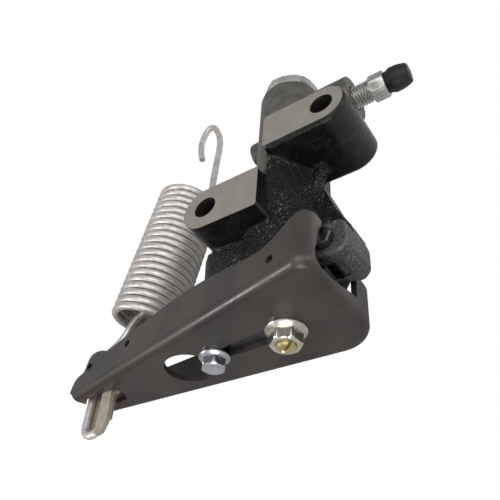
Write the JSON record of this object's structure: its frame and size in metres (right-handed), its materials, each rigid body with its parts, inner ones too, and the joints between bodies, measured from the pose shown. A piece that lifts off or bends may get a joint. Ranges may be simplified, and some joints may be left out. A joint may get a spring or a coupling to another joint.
{
  "type": "brake load sensing valve",
  "caption": "Load sensing brake valve with a cast body on two mounting ears, a pressed load lever, a hooked tension spring and a capped bleeder.",
  "frame": {"origin": "midway between the two frame bolt holes, on the plane of the machined mounting pads", "axes": "+Z out of the mounting pads, +Y along the bore towards the end plug, -X along the load lever towards its narrow tip"},
  "size_m": [0.1948, 0.2084, 0.0644],
  "materials": {
    "casting": "rough sand casting in gloss black paint with machined pads",
    "zinc": "bright zinc plate",
    "copper": "plain copper",
    "brass": "turned brass",
    "bronze": "sintered bronze",
    "seal_rubber": "moulded rubber",
    "spring_steel": "dark spring steel",
    "steel": "turned steel",
    "black_paint": "satin black",
    "yellow_zinc": "yellow passivated zinc plate",
    "nylon": "natural nylon",
    "galvanised_wire": "galvanised wire",
    "rubber": "black rubber"
  },
  "bodies": {
    "valve": {"valve_body": "casting", "end_plug": "zinc", "plug_gasket": "copper", "port_seats": "brass", "guide_bush": "bronze", "wiper_seal": "seal_rubber", "circlip": "spring_steel", "valve_seal": "seal_rubber", "spring_seat": "steel", "return_spring": "spring_steel", "pivot_pin": "steel", "pin_clip": "spring_steel"},
    "piston": {"piston": "steel", "piston_seals": "seal_rubber"},
    "lever": {"rocker": "steel", "rocker_bush": "bronze", "lever_pan": "black_paint", "tip_pin": "spring_steel", "flange_nut": "zinc", "adjuster_screw": "yellow_zinc", "clamp_bolt": "zinc", "hook_bush": "nylon"},
    "spring": {"load_spring": "galvanised_wire"},
    "bleeder": {"bleeder_screw": "zinc"},
    "cap": {"bleeder_cap": "rubber"}
  },
  "joints": [
    {"name": "lever_pivot", "type": "hinge", "parent": "valve", "child": "lever", "pos_m": [0.02, -0.0456, -0.0285], "axis": [0, 0, -1], "range_deg": [0, 6]},
    {"name": "piston_slide", "type": "slide", "parent": "valve", "child": "piston", "axis": [0, 1, 0], "range_m": [0, 0.0031], "deforming": ["return_spring"]},
    {"name": "spring_take_up", "type": "slide", "parent": "lever", "child": "spring", "axis": [0, 1, 0], "range_m": [0, 0.024]},
    {"name": "bleeder_turn", "type": "hinge", "parent": "valve", "child": "bleeder", "pos_m": [0.04, 0.0638, -0.036], "axis": [1, 0, 0], "range_deg": [0, 360]},
    {"name": "cap_pull", "type": "slide", "parent": "bleeder", "child": "cap", "axis": [1, 0, 0], "range_m": [0, 0.012]}
  ],
  "couplings": [
    {"joint": "piston_slide", "follows": "lever_pivot", "m_per_rad": 0.0295}
  ]
}
